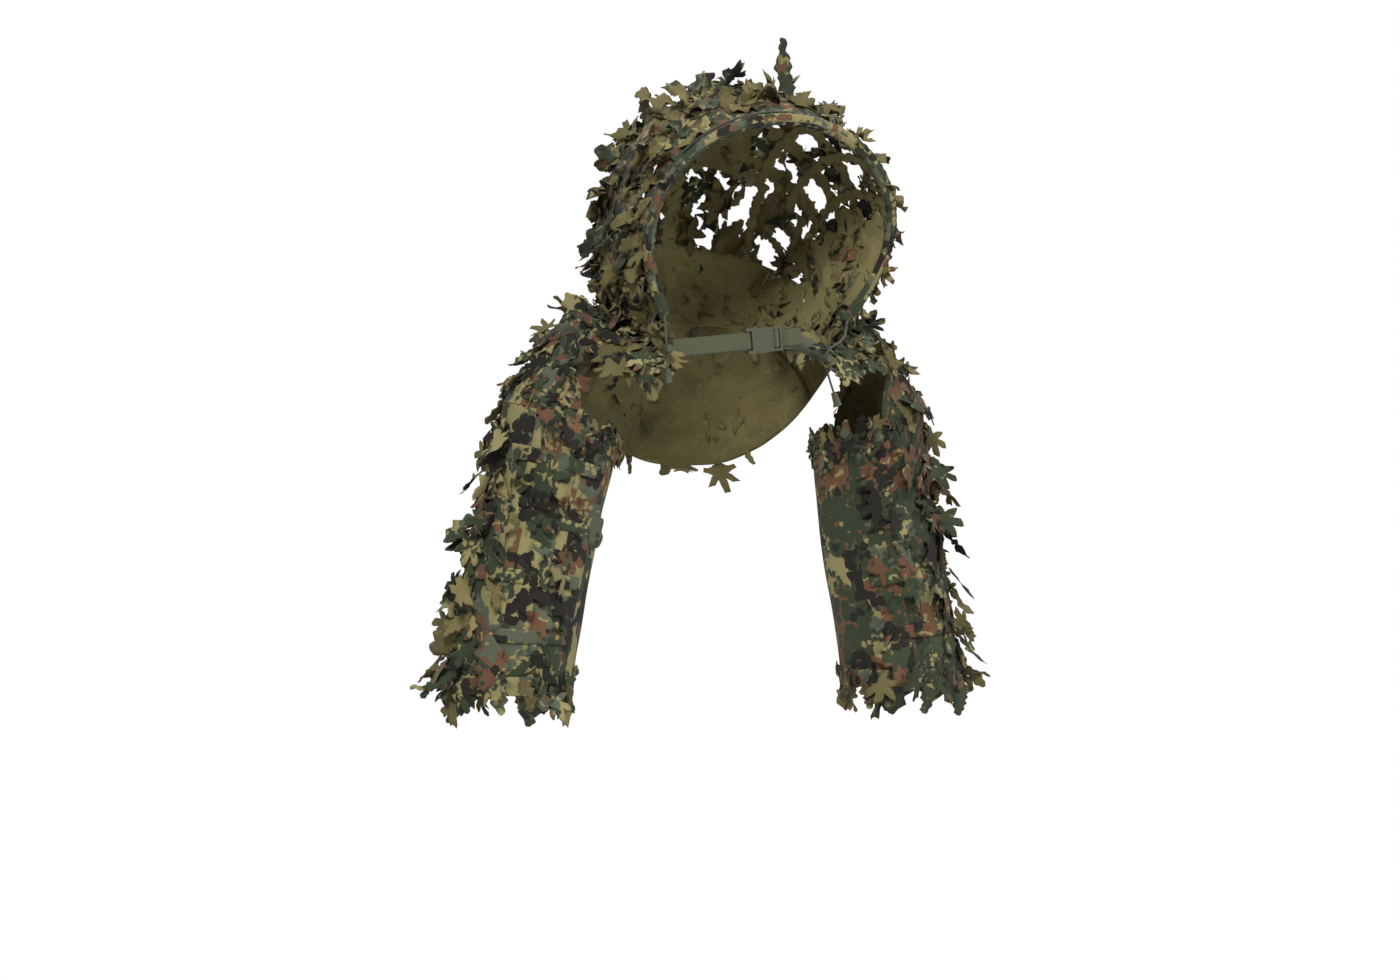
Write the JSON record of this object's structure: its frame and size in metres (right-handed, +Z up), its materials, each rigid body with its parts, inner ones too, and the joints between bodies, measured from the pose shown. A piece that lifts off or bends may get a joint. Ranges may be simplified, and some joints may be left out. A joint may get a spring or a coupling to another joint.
{
  "type": "leaf camouflage hood with sleeves",
  "caption": "Hooded shoulder cape with open-bodied sleeves, covered in cut cloth leaves, closed at the chest by a webbing strap and buckle.",
  "frame": {"origin": "between the wearer's shoulders at the neck base, where the garment's weight hangs", "axes": "+Z up, the wearer faces -Y, the wearer's left is +X"},
  "size_m": [0.8058, 0.374, 0.9543],
  "materials": {
    "camo_cloth": "printed woven cloth, dotted woodland pattern in five colours outside and plain olive inside",
    "leaf_cloth": "the same printed cloth, laser-cut into leaves with raw edges",
    "tape": "folded and stitched tape cut from the printed cloth",
    "webbing": "olive 25 mm flat webbing, twill weave",
    "elastic": "olive woven elastic",
    "cord": "3 mm braided elastic cord",
    "moulded_plastic": "olive moulded acetal, fine matt grain",
    "spring_steel": "plain spring wire"
  },
  "bodies": {
    "yoke": {"front_flap_right": "camo_cloth", "front_flap_left": "camo_cloth", "shoulder_panel_right": "camo_cloth", "shoulder_panel_left": "camo_cloth", "back_panel": "camo_cloth", "neck_binding": "tape", "back_tapes": "tape", "shoulder_tapes": "tape", "yoke_leaves": "leaf_cloth", "hood_back": "camo_cloth", "hood_side_right": "camo_cloth", "hood_side_left": "camo_cloth", "rear_crown_tape": "tape", "rear_net_tapes": "tape", "rear_hood_leaves": "leaf_cloth", "buckle_socket": "moulded_plastic", "strap_right": "webbing", "strap_left": "webbing", "drawcord_tail_right": "cord", "drawcord_tail_left": "cord", "cord_lock_right": "moulded_plastic", "cord_lock_left": "moulded_plastic", "cord_lock_spring_right": "spring_steel", "cord_lock_spring_left": "spring_steel", "cord_end_right": "moulded_plastic", "cord_end_left": "moulded_plastic"},
    "hood": {"hood_crown": "camo_cloth", "hood_arch_tapes": "tape", "hood_length_tapes": "tape", "brim_channel": "camo_cloth", "brim_drawcord": "cord", "hood_leaves": "leaf_cloth"},
    "sleeve_right": {"sleeve_right_outer": "camo_cloth", "sleeve_right_inner": "camo_cloth", "sleeve_right_head": "camo_cloth", "sleeve_right_cuff_hem": "camo_cloth", "sleeve_right_cuff_elastic": "elastic", "sleeve_right_long_tapes": "tape", "sleeve_right_cross_tapes": "tape", "sleeve_right_leaves": "leaf_cloth", "sleeve_right_cuff_leaves": "leaf_cloth"},
    "sleeve_left": {"sleeve_left_outer": "camo_cloth", "sleeve_left_inner": "camo_cloth", "sleeve_left_head": "camo_cloth", "sleeve_left_cuff_hem": "camo_cloth", "sleeve_left_cuff_elastic": "elastic", "sleeve_left_long_tapes": "tape", "sleeve_left_cross_tapes": "tape", "sleeve_left_leaves": "leaf_cloth", "sleeve_left_cuff_leaves": "leaf_cloth"},
    "tongue": {"buckle_tongue": "moulded_plastic", "strap_keeper": "moulded_plastic"},
    "prong_upper": {"prong_upper": "moulded_plastic"},
    "prong_lower": {"prong_lower": "moulded_plastic"},
    "lock_button_right": {"cord_lock_plunger_right": "moulded_plastic"},
    "lock_button_left": {"cord_lock_plunger_left": "moulded_plastic"}
  },
  "joints": [
    {"name": "hood_fold", "type": "hinge", "parent": "yoke", "child": "hood", "pos_m": [0.01702, -0.09651, -0.015], "axis": [-0.9848, -0.1736, 0], "range_deg": [0, 38], "deforming": ["hood_side_right", "hood_side_left", "rear_crown_tape", "rear_net_tapes", "rear_hood_leaves"]},
    {"name": "sleeve_right_swing", "type": "hinge", "parent": "yoke", "child": "sleeve_right", "pos_m": [-0.222, 0, -0.075], "axis": [-1, 0, 0], "range_deg": [-20, 30]},
    {"name": "sleeve_left_swing", "type": "hinge", "parent": "yoke", "child": "sleeve_left", "pos_m": [0.222, 0, -0.075], "axis": [-1, 0, 0], "range_deg": [-20, 30]},
    {"name": "buckle_release", "type": "slide", "parent": "yoke", "child": "tongue", "axis": [0.9927, 0.0607, 0.1045], "range_m": [0, 0.03], "deforming": ["strap_left", "prong_upper", "prong_lower"]},
    {"name": "prong_upper_squeeze", "type": "hinge", "parent": "tongue", "child": "prong_upper", "pos_m": [0.02998, -0.11809, -0.01148], "axis": [0.061, -0.9981, 0], "range_deg": [0, 10], "stiffness_Nm_per_rad": 0.4},
    {"name": "prong_lower_squeeze", "type": "hinge", "parent": "tongue", "child": "prong_lower", "pos_m": [0.03282, -0.11792, -0.03854], "axis": [-0.061, 0.9981, 0], "range_deg": [0, 10], "stiffness_Nm_per_rad": 0.4},
    {"name": "cord_lock_right_press", "type": "slide", "parent": "yoke", "child": "lock_button_right", "axis": [0, 1, 0], "range_m": [0, 0.0025], "stiffness_N_per_m": 400, "deforming": ["cord_lock_spring_right"]},
    {"name": "cord_lock_left_press", "type": "slide", "parent": "yoke", "child": "lock_button_left", "axis": [-0.0006, 0.9997, -0.0238], "range_m": [0, 0.0025], "stiffness_N_per_m": 400, "deforming": ["cord_lock_spring_left"]}
  ],
  "couplings": [
    {"joint": "prong_lower_squeeze", "follows": "prong_upper_squeeze", "ratio": 1}
  ]
}
